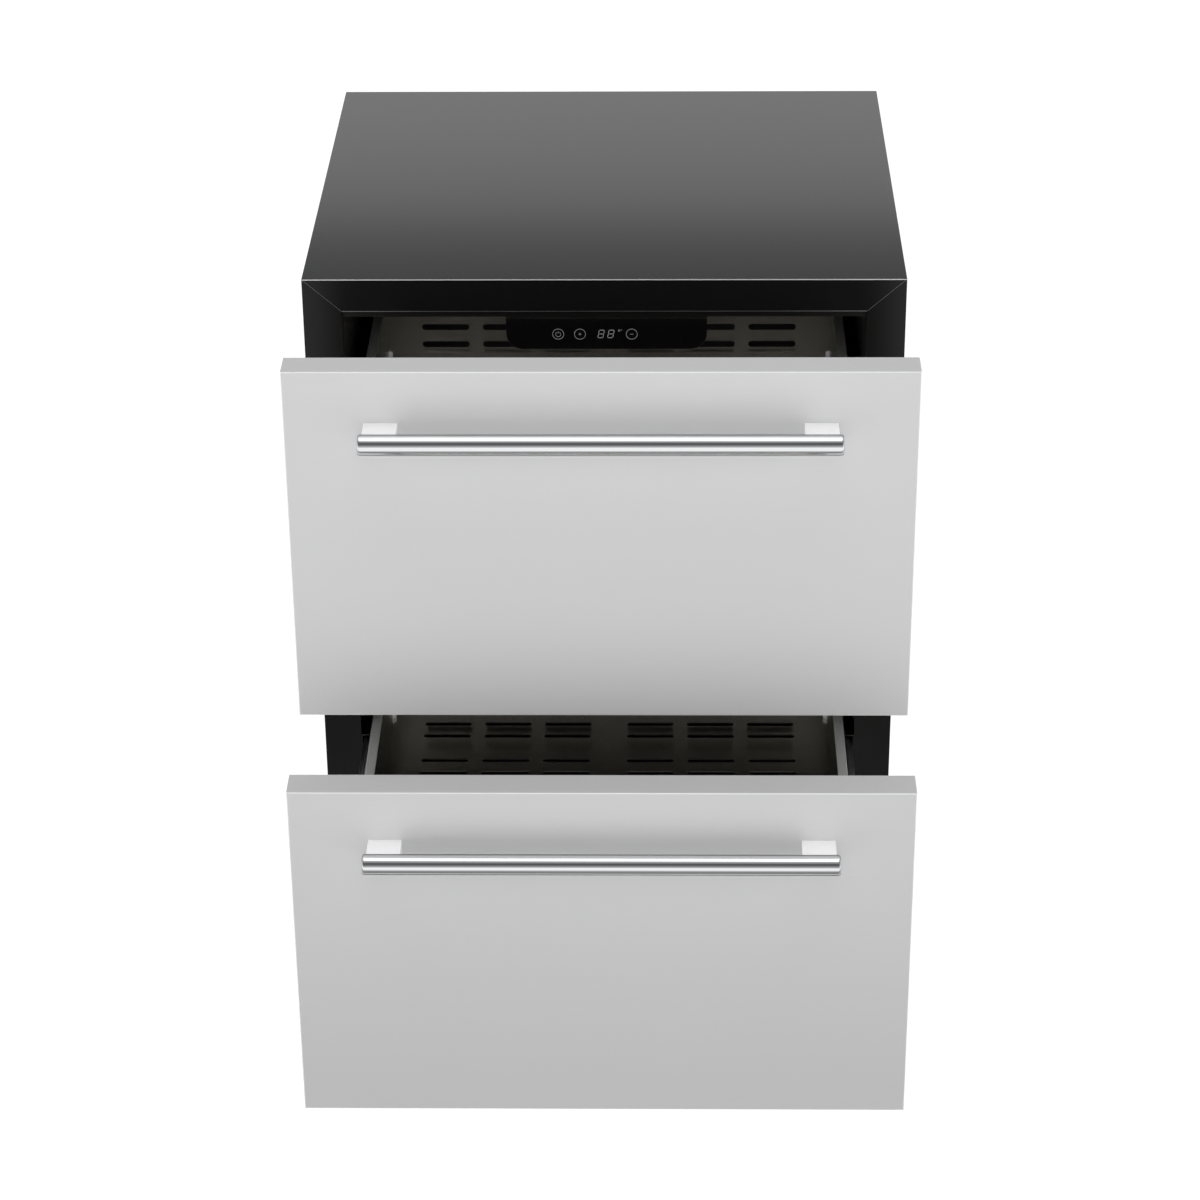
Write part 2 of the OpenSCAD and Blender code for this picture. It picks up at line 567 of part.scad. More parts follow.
// a C-shaped strip that carries one slide's two rows of balls
module cage(s, zc, u, v, ball_u) side(s) union() {
    slab([box_w + u[1] - 0.6, box_w + u[1]], [cage_y, cage_y + cage_l], [zc - v - 0.3, zc + v + 0.3]);
    for (k = [-1, 1]) slab([box_w + u[0], box_w + u[1]], [cage_y, cage_y + cage_l],
        [zc + k * v - 0.3, zc + k * v + 0.3]);
    for (k = [-1, 1], i = [0:race_balls - 1])
        at(box_w + ball_u, cage_y + cage_l * (i + 0.5) / race_balls, zc + k * v) sphere(r = ball_r);
}
module outer_cages(zc, open) color([0.62, 0.63, 0.66]) slide_by(open / 4)
    for (s = [-1, 1]) cage(s, zc, [4.2, 10.4], out_ball_v, out_ball_u);
module inner_cages(zc, open) color([0.62, 0.63, 0.66]) slide_by(open * 3 / 4)
    for (s = [-1, 1]) cage(s, zc, [2, 7.9], in_ball_v, in_ball_u);

upper_slide_z = upper_top - floor_drop + slide_up;
lower_slide_z = lower_top - floor_drop + slide_up;

module upper_outer_slide_left() outer_slide(-1, upper_slide_z);
module upper_outer_slide_right() outer_slide(1, upper_slide_z);
module upper_middle_slide_left() middle_slide(-1, upper_slide_z, upper_open);
module upper_middle_slide_right() middle_slide(1, upper_slide_z, upper_open);
module upper_inner_slide_left() inner_slide(-1, upper_slide_z, upper_open);
module upper_inner_slide_right() inner_slide(1, upper_slide_z, upper_open);
module upper_outer_cages() outer_cages(upper_slide_z, upper_open);
module upper_inner_cages() inner_cages(upper_slide_z, upper_open);
module lower_outer_slide_left() outer_slide(-1, lower_slide_z);
module lower_outer_slide_right() outer_slide(1, lower_slide_z);
module lower_middle_slide_left() middle_slide(-1, lower_slide_z, lower_open);
module lower_middle_slide_right() middle_slide(1, lower_slide_z, lower_open);
module lower_inner_slide_left() inner_slide(-1, lower_slide_z, lower_open);
module lower_inner_slide_right() inner_slide(1, lower_slide_z, lower_open);
module lower_outer_cages() outer_cages(lower_slide_z, lower_open);
module lower_inner_cages() inner_cages(lower_slide_z, lower_open);

// ---- drawers: drawn shut, then slid open ----

seal_x = lip_w + 22;                  // outer half width of a seal
bellow = gasket_t / 7;                // one fold of it
face_y = -seal - front_t;             // front face, shut
stud_x = bar_l / 2 - post_in - post_w / 2;

module front_skin(top, open) color([0.75, 0.76, 0.77]) slide_by(open) difference() {
    slab([-half_w, half_w], [face_y, -seal], [top - front_h, top]);
    slab([-half_w + skin_t, half_w - skin_t], [face_y + skin_t, 0],
        [top - front_h + skin_t, top - skin_t]);
    for (x = [-stud_x, stud_x]) at(x, face_y - 1, top - bar_drop) rotate([-90, 0, 0])
        cylinder(r = 3.05, h = 5);
}
module front_core(top, open) color([0.93, 0.86, 0.6]) slide_by(open) difference() {
    slab([-half_w + skin_t, half_w - skin_t], [face_y + skin_t, -seal - box_t],
        [top - front_h + skin_t, top - skin_t]);
    for (x = [-stud_x, stud_x]) at(x, face_y - 1, top - bar_drop) rotate([-90, 0, 0])
        cylinder(r = 8, h = front_t);
}
module inner_panel(top, open) color([0.72, 0.73, 0.74]) slide_by(open)
    slab([-half_w + skin_t, half_w - skin_t], [-seal - box_t, -seal],
        [top - front_h + skin_t, top - skin_t]);

// a rectangular ring between two heights, a to b in from its outer edge
module ring(z0, z1, y, a, b) difference() {
    slab([-seal_x + a, seal_x - a], y, [z0 + a, z1 - a]);
    slab([-seal_x + b, seal_x - b], [y[0] - 1, y[1] + 1], [z0 + b, z1 - b]);
}
// a seal frame between two heights, behind the front: foot, folded bellows and magnet head
module seal_frame(z0, z1, open) color([0.12, 0.12, 0.12]) slide_by(open) difference() {
    ring(z0, z1, [-seal, -0.3], 0, gasket_w);
    for (k = [0, 1]) {
        ring(z0, z1, [-seal + bellow * (1 + 2 * k), -seal + bellow * (2 + 2 * k)], -1, gasket_w / 4);
        ring(z0, z1, [-seal + bellow * (1 + 2 * k), -seal + bellow * (2 + 2 * k)],
            gasket_w * 3 / 4, gasket_w + 1);
    }
}

module box_slots(z) {
    for (y = [row_0:row_pitch:box_d - row_gap - 2 * row_0], j = [0, row_gap], i = [-1, 1], c = slot_x)
        slot_z(i * c, box_back - y - j, z - 5, slot_l, slot_w, 10);
    for (j = [row_0, row_0 + 20], i = [-1, 1], c = slot_x)
        slot_y(i * c, box_back - 5, z + j, slot_l, slot_w, 10);
}
module drawer_box(top, open) color([0.7, 0.71, 0.72]) slide_by(open) {
    z = top - floor_drop;
    rim = top - rim_drop;
    difference() {
        union() {
            slab([-box_in - box_t, box_in + box_t], [box_front, box_back + box_t], [z - box_t, z]);
            slab([-box_in - box_t, box_in + box_t], [box_back, box_back + box_t], [z - box_t, rim]);
            slab([-box_in - box_t, box_in + box_t], [box_back, box_back + 4], [rim - box_t, rim]);
            slab([-box_in - box_t, box_in + box_t], [box_front, box_front + box_t], [z - box_t, rim]);
            both() difference() {
                slab([box_in, box_w], [box_front, box_back + box_t], [z - box_t, rim]);
                slab([box_in + box_t, box_w - box_t], [box_front - 1, box_back + 5],
                    [z - box_t - 1, rim - box_t]);
            }
        }
        box_slots(z);
    }
}
module handle_bar(top, open) color([0.8, 0.81, 0.82]) slide_by(open)
    at(-bar_l / 2, face_y - bar_out, top - bar_drop) rotate([0, 90, 0]) union() {
        cylinder(r1 = bar_r - 0.8, r2 = bar_r, h = 0.8);
        translate([0, 0, 0.8]) cylinder(r = bar_r, h = bar_l - 1.6);
        translate([0, 0, bar_l - 0.8]) cylinder(r1 = bar_r, r2 = bar_r - 0.8, h = 0.8);
    }
module handle_posts(top, open) color([0.8, 0.81, 0.82]) slide_by(open) for (s = [-1, 1]) {
    difference() {
        slab([s * stud_x - post_w / 2, s * stud_x + post_w / 2], [face_y - bar_out + 4, face_y],
            [top - bar_drop - post_h / 2, top - bar_drop + post_h / 2]);
        at(-bar_l / 2, face_y - bar_out, top - bar_drop) rotate([0, 90, 0]) cylinder(r = bar_r + run_fit, h = bar_l);
    }
    at(s * stud_x, face_y, top - bar_drop) rotate([-90, 0, 0]) {
        cylinder(r = 3, h = 14);
        translate([0, 0, skin_t]) cylinder(r = 7, h = 6);
    }
}

module upper_front_skin() front_skin(upper_top, upper_open);
module upper_front_core() front_core(upper_top, upper_open);
module upper_inner_panel() inner_panel(upper_top, upper_open);
module upper_gasket() seal_frame(rail_z + front_gap / 2 + seal_inset, flange_z + gasket_w + 3, upper_open);
module upper_box() drawer_box(upper_top, upper_open);
module upper_handle_bar() handle_bar(upper_top, upper_open);
module upper_handle_posts() handle_posts(upper_top, upper_open);
module lower_front_skin() front_skin(lower_top, lower_open);
module lower_front_core() front_core(lower_top, lower_open);
module lower_inner_panel() inner_panel(lower_top, lower_open);
module lower_gasket() seal_frame(deck_z + 11, rail_z - front_gap / 2 - seal_inset, lower_open);
module lower_box() drawer_box(lower_top, lower_open);
module lower_handle_bar() handle_bar(lower_top, lower_open);
module lower_handle_posts() handle_posts(lower_top, lower_open);

outer_case();
rear_panel();
base_pan();
machine_deck();
insulation_foam();
inner_liner();
centre_rail();
duct_cover();
control_housing();
control_panel();
control_board();
light_lens();
evaporator_coil();
evaporator_fan_frame();
evaporator_fan();
drain_tube();
evaporation_tray();
compressor();
compressor_grommets();
condenser_coil();
condenser_fan_frame();
condenser_fan();
refrigerant_pipes();
power_box();
rear_grille();
front_grille();
foot_front_left();
foot_front_right();
foot_rear_left();
foot_rear_right();
upper_outer_slide_left();
upper_outer_slide_right();
upper_middle_slide_left();
upper_middle_slide_right();
upper_inner_slide_left();
upper_inner_slide_right();
upper_outer_cages();
upper_inner_cages();
upper_front_skin();
upper_front_core();
upper_inner_panel();
upper_gasket();
upper_box();
upper_handle_bar();
upper_handle_posts();
lower_outer_slide_left();
lower_outer_slide_right();
lower_middle_slide_left();
lower_middle_slide_right();
lower_inner_slide_left();
lower_inner_slide_right();
lower_outer_cages();
lower_inner_cages();
lower_front_skin();
lower_front_core();
lower_inner_panel();
lower_gasket();
lower_box();
lower_handle_bar();
lower_handle_posts();
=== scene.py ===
# Looks of the undercounter drawer refrigerator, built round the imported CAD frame.
import bpy, bmesh, math, json
from mathutils import Vector, Matrix


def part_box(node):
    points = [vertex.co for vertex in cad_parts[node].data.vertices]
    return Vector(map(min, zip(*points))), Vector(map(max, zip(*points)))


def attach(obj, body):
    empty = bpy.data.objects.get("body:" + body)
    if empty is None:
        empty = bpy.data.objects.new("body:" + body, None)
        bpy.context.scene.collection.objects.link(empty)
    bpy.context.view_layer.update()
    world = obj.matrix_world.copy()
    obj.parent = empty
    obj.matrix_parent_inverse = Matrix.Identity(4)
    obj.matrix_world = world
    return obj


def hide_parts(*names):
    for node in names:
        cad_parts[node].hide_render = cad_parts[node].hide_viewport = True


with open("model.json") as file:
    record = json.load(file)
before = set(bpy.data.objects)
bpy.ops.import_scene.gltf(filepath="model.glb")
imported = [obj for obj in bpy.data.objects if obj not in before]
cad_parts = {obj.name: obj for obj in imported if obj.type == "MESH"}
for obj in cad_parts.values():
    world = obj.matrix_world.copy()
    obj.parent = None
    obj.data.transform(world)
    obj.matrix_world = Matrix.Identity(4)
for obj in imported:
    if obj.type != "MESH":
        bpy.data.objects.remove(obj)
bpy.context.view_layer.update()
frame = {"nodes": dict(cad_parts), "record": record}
nodes = frame["nodes"]
record = frame["record"]
body_of = {n: b for b, ns in record["behaviour"]["bodies"].items() for n in ns}
slot_of = {s["node"]: s["material_slot"] for s in record["subparts"]}
scene = bpy.context.scene

# ---- measures, in metres ----

CASE_TOP = 0.865
CASE_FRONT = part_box("outer_case")[0][1]    # y of the case's front flange
ROOT = body_of["outer_case"]
DRAWERS = ("upper", "lower")
SIDES = ((-1, "left"), (1, "right"))
MOULDING_ROUND = 0.0006     # edge radii
CASE_ROUND = 0.0004
SHEET_ROUND = 0.0005
SKIN_BEND = 0.0013
BAR_END_ROUND = 0.0022
STROKE_RISE = 0.00018       # how far a symbol stands out of the panel
DISH = 0.0007               # depth of the dished seats of the screws


# ---- materials ----

MIX_A, MIX_B, MIX_OUT = 6, 7, 2     # the colour sockets of a Mix node


def map_range(tree, source, from_min, from_max, to_min=0.0, to_max=1.0):
    node = tree.nodes.new("ShaderNodeMapRange")
    node.inputs["From Min"].default_value = from_min
    node.inputs["From Max"].default_value = from_max
    node.inputs["To Min"].default_value = to_min
    node.inputs["To Max"].default_value = to_max
    tree.links.new(source, node.inputs["Value"])
    return node


def material(name, color, metal=0.0, rough=0.5, grain=60, rough_var=0.08, bump=0.0,
             tint=0.04, tint_scale=6.0, coat=0.0, emission=0.0, dist=0.0002,
             aniso=0.0, spec=None, edge=None, cells=False):
    """Fine noise drives roughness and bump; a wide noise, or cells, drives the tint.

    grain is the fine noise's scale, one number or one for each axis. edge is the grey that
    tints a metal's grazing reflection. aniso is for sheet brushed along x."""
    m = bpy.data.materials.new(name)
    m.use_nodes = True
    nt = m.node_tree
    b = nt.nodes["Principled BSDF"]
    place = nt.nodes.new("ShaderNodeTexCoord")
    stretch = nt.nodes.new("ShaderNodeMapping")
    stretch.inputs["Scale"].default_value = grain if isinstance(grain, tuple) else (grain,) * 3
    nt.links.new(place.outputs["Object"], stretch.inputs["Vector"])
    fine = nt.nodes.new("ShaderNodeTexNoise")
    fine.inputs["Scale"].default_value = 1.0
    fine.inputs["Detail"].default_value = 4.0
    nt.links.new(stretch.outputs[0], fine.inputs["Vector"])

    wide = nt.nodes.new("ShaderNodeTexVoronoi" if cells else "ShaderNodeTexNoise")
    wide.inputs["Scale"].default_value = tint_scale
    nt.links.new(place.outputs["Object"], wide.inputs["Vector"])
    if cells:
        split = nt.nodes.new("ShaderNodeSeparateXYZ")
        nt.links.new(wide.outputs["Color"], split.inputs[0])
        shade = split.outputs[0]
    else:
        wide.inputs["Detail"].default_value = 3.0
        shade = wide.outputs["Fac"]
    mix = nt.nodes.new("ShaderNodeMix")
    mix.data_type = "RGBA"
    c = Vector(color)
    mix.inputs[MIX_A].default_value = (*[v * (1 - tint) for v in c], 1)
    mix.inputs[MIX_B].default_value = (*[v * (1 + tint) for v in c], 1)
    nt.links.new(shade, mix.inputs[0])
    nt.links.new(mix.outputs[MIX_OUT], b.inputs["Base Color"])

    rr = map_range(nt, fine.outputs["Fac"], 0.3, 0.7,
                   max(0.01, rough - rough_var), min(1.0, rough + rough_var))
    nt.links.new(rr.outputs[0], b.inputs["Roughness"])
    if bump:
        bp = nt.nodes.new("ShaderNodeBump")
        bp.inputs["Strength"].default_value = bump
        bp.inputs["Distance"].default_value = dist
        nt.links.new(fine.outputs["Fac"], bp.inputs["Height"])
        nt.links.new(bp.outputs[0], b.inputs["Normal"])
    b.inputs["Metallic"].default_value = metal
    b.inputs["Coat Weight"].default_value = coat
    b.inputs["Coat Roughness"].default_value = 0.05
    if spec is not None:
        b.inputs["Specular IOR Level"].default_value = spec
    if edge is not None:
        b.inputs["Specular Tint"].default_value = (edge, edge, edge, 1)
    if aniso:
        b.inputs["Anisotropic"].default_value = aniso
        b.inputs["Anisotropic Rotation"].default_value = 0.25
    if emission:
        b.inputs["Emission Color"].default_value = (*color, 1)
        b.inputs["Emission Strength"].default_value = emission
    return m


FRONT_BRUSH = (14, 5200, 5200)      # grain of the fronts, brushed along x
BOX_BRUSH = (4200, 22, 4200)        # grain of the boxes, brushed along y
SLIDE_GRAIN = (300, 30, 300)
M = {
    # paint, sheet and mouldings of the cabinet
    "black_paint": material("black_satin_paint", (0.007, 0.0073, 0.0072), 0, 0.2, 1600, 0.03,
                            0.05, tint=0.012, spec=0.22, dist=0.00003),
    "galvanised": material("galvanised_sheet", (0.40, 0.41, 0.42), 1, 0.42, 40, 0.08, 0.05,
                           tint=0.09, tint_scale=110, cells=True),
    "screw_zinc": material("dark_zinc_screw", (0.12, 0.12, 0.125), 1, 0.35, 700, 0.08, 0.05),
    "liner_black": material("gloss_black_liner", (0.008, 0.008, 0.0076), 0, 0.3, 30, 0.03,
                            spec=0.3),
    "foam": material("rigid_foam", (0.78, 0.66, 0.36), 0, 0.9, 400, 0.05, 0.6),
    "black_plastic": material("matte_black_plastic", (0.02, 0.02, 0.021), 0, 0.5, 1500, 0.06,
                              0.15, dist=0.0001),
    "panel_gloss": material("gloss_black_panel", (0.004, 0.004, 0.0045), 0, 0.08, 20, 0.02,
                            coat=1.0),
    "circuit_board": material("circuit_board_green", (0.02, 0.16, 0.06), 0, 0.4, 500, 0.1, 0.2),
    "lens": material("frosted_lens", (0.8, 0.83, 0.86), 0, 0.4, 200, 0.05, 0.1),
    # the cooling machinery and the feet
    "coil_aluminium": material("coil_aluminium", (0.78, 0.79, 0.8), 1, 0.35, 300, 0.1, 0.1),
    "white_plastic": material("white_plastic", (0.7, 0.71, 0.72), 0, 0.45, 300, 0.05, 0.05),
    "compressor_black": material("compressor_enamel", (0.02, 0.02, 0.021), 0, 0.3, 300, 0.06,
                                 0.15),
    "rubber": material("black_rubber", (0.02, 0.02, 0.02), 0, 0.8, 700, 0.06, 0.3),
    "condenser_black": material("condenser_enamel", (0.02, 0.02, 0.021), 0, 0.45, 300, 0.08,
                                0.1),
    "copper": material("copper_tube", (0.72, 0.34, 0.2), 1, 0.3, 60, 0.1, 0.04, tint=0.15),
    "foot_black": material("foot_plastic", (0.03, 0.03, 0.031), 0, 0.5, 900, 0.06, 0.2),
    # the slides
    "slide_zinc": material("zinc_plated_slide", (0.36, 0.37, 0.38), 1, 0.38, SLIDE_GRAIN, 0.1,
                           0.04),
    "slide_dark": material("phosphated_slide", (0.09, 0.093, 0.095), 1, 0.42, SLIDE_GRAIN, 0.1,
                           0.04),
    "cage_steel": material("ball_cage_steel", (0.34, 0.34, 0.35), 1, 0.38, 200, 0.1, 0.03),
    # the drawers
    "stainless": material("brushed_stainless_front", (0.83, 0.83, 0.828), 0.55, 0.8,
                          FRONT_BRUSH, 0.04, 0.03, tint=0.006, dist=0.00002, aniso=0.6),
    # a darker copy of the front steel for the skin's returns: painted shade
    "stainless_returns_painted_shade": material("brushed_stainless_returns_painted_shade", (0.64, 0.64, 0.638), 0.55, 0.7,
                               FRONT_BRUSH, 0.04, 0.03, tint=0.006, dist=0.00002),
    # a brighter copy of the front steel for the skin's bends: a painted highlight
    "stainless_bend_painted_highlight": material("brushed_stainless_bend_painted_highlight", (0.95, 0.95, 0.948), 0.4, 0.5,
                               FRONT_BRUSH, 0.04, 0.03, tint=0.006, dist=0.00002),
    "stainless_inner": material("brushed_stainless_box", (0.55, 0.54, 0.50), 1, 0.22,
                                BOX_BRUSH, 0.03, 0.02, tint=0.02, dist=0.00002),
    # a darker copy of the box steel for its side walls: painted shade
    "stainless_side_painted_shade": material("brushed_stainless_side_painted_shade", (0.32, 0.315, 0.29), 1, 0.24,
                               BOX_BRUSH, 0.03, 0.02, tint=0.02, dist=0.00002),
    "gasket": material("seal_rubber", (0.03, 0.03, 0.03), 0, 0.65, 600, 0.06, 0.2),
    # the near-black edge tint paints shade into the bars' grazing reflections, along their top
    # and bottom edges
    "polished_steel": material("polished_steel_handle", (0.79, 0.80, 0.805), 1, 0.10,
                               (8, 2600, 2600), 0.02, 0.01, tint=0.006, dist=0.00001,
                               edge=0.05),
    # near-white with a faint glow: painted light on the posts and corner clips, standing for
    # overhead light on their tops
    "satin_post_painted_glow": material("satin_steel_post_painted_glow", (0.94, 0.94, 0.94), 0, 0.45, 900, 0.05, 0.02,
                           tint=0.01, dist=0.00002, emission=0.11),
    # a lighter, less metallic copy of the box steel for the rim tops: painted light
    "rim_steel_painted_light": material("satin_steel_rim_painted_light", (0.62, 0.62, 0.60), 0.3, 0.5, (900, 14, 900),
                          0.05, 0.02, tint=0.02, dist=0.00002),
    # near-black walls for the slots in the box floors: painted shade
    "slot_wall_painted_shade": material("slot_wall_painted_shade_edge", (0.10, 0.10, 0.095), 1, 0.45, 900, 0.05, 0.05),
    # lines and symbols
    # lighter steels for the beads along the black case's seams and folds: painted highlights
    "seam_painted_highlight": material("seam_painted_highlight", (0.30, 0.305, 0.305), 1, 0.45, 900, 0.05, 0.05),
    "fold_painted_highlight": material("fold_painted_highlight", (0.80, 0.80, 0.79), 0.4, 0.45, 900, 0.05, 0.03),
    "symbol_white": material("symbol_white", (0.5, 0.52, 0.53), 0, 0.5, 400, 0.05,
                             emission=0.15),
    "symbol_bright": material("symbol_bright", (0.6, 0.62, 0.63), 0, 0.5, 400, 0.05,
                              emission=0.26),
}
for n, o in nodes.items():
    o.data.materials.clear()
    o.data.materials.append(M["slide_dark" if "_outer_slide_" in n else slot_of[n]])


# ---- mesh helpers ----

def fit(x, y, z):
    """Millimetres from the top middle of the front flange: right, back, up."""
    return Vector((x / 1000, y / 1000 + CASE_FRONT, z / 1000 + CASE_TOP))


def near(v, w):
    return abs(v - w) < 3e-5


def along(p, d):
    """A frame at p with its z axis along d."""
    q = Vector(d).normalized().to_track_quat("Z", "Y").to_matrix().to_4x4()
    return Matrix.Translation(p) @ q


def new_object(name, mesh, mat, body):
    o = bpy.data.objects.new(name, mesh)
    scene.collection.objects.link(o)
    o.data.materials.clear()
    o.data.materials.append(M[mat])
    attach(o, body)
    return o


def folds(bm, degrees):
    """The edges where two faces meet at more than an angle."""
    return [e for e in bm.edges
            if len(e.link_faces) == 2 and e.calc_face_angle(0) > math.radians(degrees)]


def keep_sharp(bm):
    for e in folds(bm, 30):
        e.smooth = False


def cad_copy(node):
    """A copy of a CAD node's mesh, with the triangles of each flat face joined."""
    me = nodes[node].data.copy()
    bm = bmesh.new()
    bm.from_mesh(me)
    bmesh.ops.remove_doubles(bm, verts=bm.verts, dist=1e-6)
    bmesh.ops.dissolve_limit(bm, angle_limit=math.radians(1.0), verts=bm.verts,
                             edges=bm.edges)
    return me, bm


def round_edges(bm, edges, width, segments):
    bmesh.ops.bevel(bm, geom=edges, offset=width, offset_type="OFFSET", segments=segments,
                    profile=0.5, affect="EDGES", clamp_overlap=True, harden_normals=False)


def stand_in(node, me, bm):
    """The piece that stands for a CAD node, in its place."""
    keep_sharp(bm)
    bm.to_mesh(me)
    bm.free()
    o = new_object(node + "_formed", me, slot_of[node], body_of[node])
    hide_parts(node)
    return o


def softened(node):
    """A moulding: all its edges are rounded."""
    me, bm = cad_copy(node)
    round_edges(bm, folds(bm, 35), MOULDING_ROUND, 2)
    for f in bm.faces:
        f.smooth = True
    o = stand_in(node, me, bm)
    o.modifiers.new("normals", "WEIGHTED_NORMAL").keep_sharp = True


def formed(node, test=None, width=SHEET_ROUND, segments=2):
    """Sheet metal: the edges whose two ends pass the test are rounded."""
    me, bm = cad_copy(node)
    if test:
        edges = [e for e in folds(bm, 50) if test(e.verts[0].co, e.verts[1].co)]
        round_edges(bm, edges, width, segments)
    bmesh.ops.remove_doubles(bm, verts=bm.verts, dist=4e-6)
    bmesh.ops.dissolve_degenerate(bm, dist=2e-6, edges=bm.edges)
    for f in bm.faces:          # wide flat faces stay flat
        f.smooth = f.calc_area() < 1.2e-3 and len(f.verts) < 6
    return stand_in(node, me, bm)


def mesh_of(name, bm):
    for f in bm.faces:
        f.smooth = True
    keep_sharp(bm)
    bmesh.ops.recalc_face_normals(bm, faces=bm.faces)
    me = bpy.data.meshes.new(name)
    bm.to_mesh(me)
    bm.free()
    return me


def lathe(bm, prof, mat, n):
    """A profile of (radius, height) turned round the z axis of mat; closed at both ends."""
    rings = []
    for r, h in prof:
        turns = [2 * math.pi * i / n for i in range(n)] if r > 1e-7 else [0]
        rings.append([bm.verts.new(mat @ Vector((r * math.cos(t), r * math.sin(t), h)))
                      for t in turns])
    for a, b in zip(rings, rings[1:]):
        for i in range(n):
            j = (i + 1) % n
            if len(a) == 1:
                bm.faces.new((a[0], b[i], b[j]))
            elif len(b) == 1:
                bm.faces.new((a[i], b[0], a[j]))
            else:
                bm.faces.new((a[i], a[j], b[j], b[i]))


# ---- the CAD nodes that get finer edges ----

for n in ("control_panel", "control_housing", "centre_rail", "upper_gasket", "lower_gasket"):
    softened(n)
# the pressed channels of the rear panel
rear_panel = formed("rear_panel", lambda a, b: abs(a.x) < 0.2 and abs(b.x) < 0.2)
# the four folded edges of the case's top
formed("outer_case", lambda a, b: near(a.z, CASE_TOP) and near(b.z, CASE_TOP), CASE_ROUND, 4)


def on_skin_bend(lo, hi):
    """Tests for the front edges of a skin, but not for the holes in its face."""
    def on_face(v):
        return lo[2] + 0.02 < v.z < hi[2] - 0.02

    def test(a, b):
        hole = on_face(a) and on_face(b) and abs(a.x) < 0.28
        return near(a.y, lo[1]) and near(b.y, lo[1]) and not hole
    return test


for n in DRAWERS:
    # the returns of the skin take a darker copy of its steel, painted shade, and its bends a
    # brighter copy, a painted highlight
    o = formed(n + "_front_skin", on_skin_bend(*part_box(n + "_front_skin")), SKIN_BEND, 4)
    o.data.materials.append(M["stainless_returns_painted_shade"])
    o.data.materials.append(M["stainless_bend_painted_highlight"])
    for f in o.data.polygons:
        f.material_index = 1 if abs(f.normal.y) < 0.25 else 2 if f.normal.y > -0.97 else 0

    # the posts take a near-white steel with a faint glow: painted light on their tops
    o = formed(n + "_handle_posts", lambda a, b: True, segments=3)
    o.data.materials.clear()
    o.data.materials.append(M["satin_post_painted_glow"])

    # the box: a lighter, less metallic copy of its steel on the rim tops, painted light;
    # near-black slot walls, painted shade; a darker copy on the side walls, painted shade
    floor_z, rim_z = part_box(n + "_box")[0][2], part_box(n + "_box")[1][2]
    o = formed(n + "_box", lambda a, b: near(a.z, rim_z) and near(b.z, rim_z))
    for painted_copy in ("rim_steel_painted_light", "slot_wall_painted_shade", "stainless_side_painted_shade"):
        o.data.materials.append(M[painted_copy])
    for f in o.data.polygons:
        zs = [o.data.vertices[i].co.z for i in f.vertices]
        through_floor = max(zs) < floor_z + 0.0014 and max(zs) - min(zs) > 0.0009
        if f.normal.z > 0.2 and min(zs) > rim_z - 0.0008:
            f.material_index = 1
        elif abs(f.normal.z) < 0.1 and through_floor:
            f.material_index = 2
        elif f.normal.x * f.center.x < -0.2:
            f.material_index = 3

# round bars with soft turned ends
for n in DRAWERS:
    lo, hi = (Vector(v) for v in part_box(n + "_handle_bar"))
    r = (hi.z - lo.z) / 2
    c = (lo + hi) / 2
    L = hi.x - lo.x
    e = BAR_END_ROUND
    quarter = [k * math.pi / 12 for k in range(7)]
    prof = [(0, 0), (r - e, 0)]
    prof += [(r - e + e * math.sin(t), e - e * math.cos(t)) for t in quarter[1:]]
    prof += [(r, L * k / 8) for k in range(1, 8)]
    prof += [(r - e + e * math.cos(t), L - e + e * math.sin(t)) for t in quarter]
    prof += [(0, L)]
    bm = bmesh.new()
    lathe(bm, prof, along(Vector((lo.x, c.y, c.z)), (1, 0, 0)), 96)
    o = new_object(n + "_handle_bar_turned", mesh_of("bar", bm), "polished_steel",
                   n + "_drawer")
    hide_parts(n + "_handle_bar")


# ---- beads along the seams and folds of the case, in lighter steel: painted highlights ----

def bead(name, a, b, r, mat, n=10):
    """A thin round bead from a to b."""
    bm = bmesh.new()
    L = (b - a).length
    lathe(bm, [(0, 0), (r * 0.7, 0), (r, r * 0.5), (r, L / 2), (r, L - r * 0.5), (r * 0.7, L),
               (0, L)], along(a, b - a), n)
    new_object(name, mesh_of(name, bm), mat, ROOT)


FLANGE = -34.0        # inner edge of the front flange, millimetres above the top
for s, side in SIDES:
    bead("case_mitre_seam_highlight_" + side, fit(s * 297.1, 0.15, -0.4),
         fit(s * 259.7, 0.15, FLANGE + 0.2), 0.00024, "seam_painted_highlight")
bead("case_opening_hem_highlight", fit(-259.3, 0.5, FLANGE), fit(259.3, 0.5, FLANGE), 0.00055,
     "seam_painted_highlight")
bead("case_front_fold_highlight", fit(-297.2, 0.36, -0.62), fit(297.2, 0.36, -0.62), 0.0006,
     "fold_painted_highlight", 16)


# ---- symbols on the control panel: flat raised strokes ----

panel_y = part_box("control_panel")[0][1]


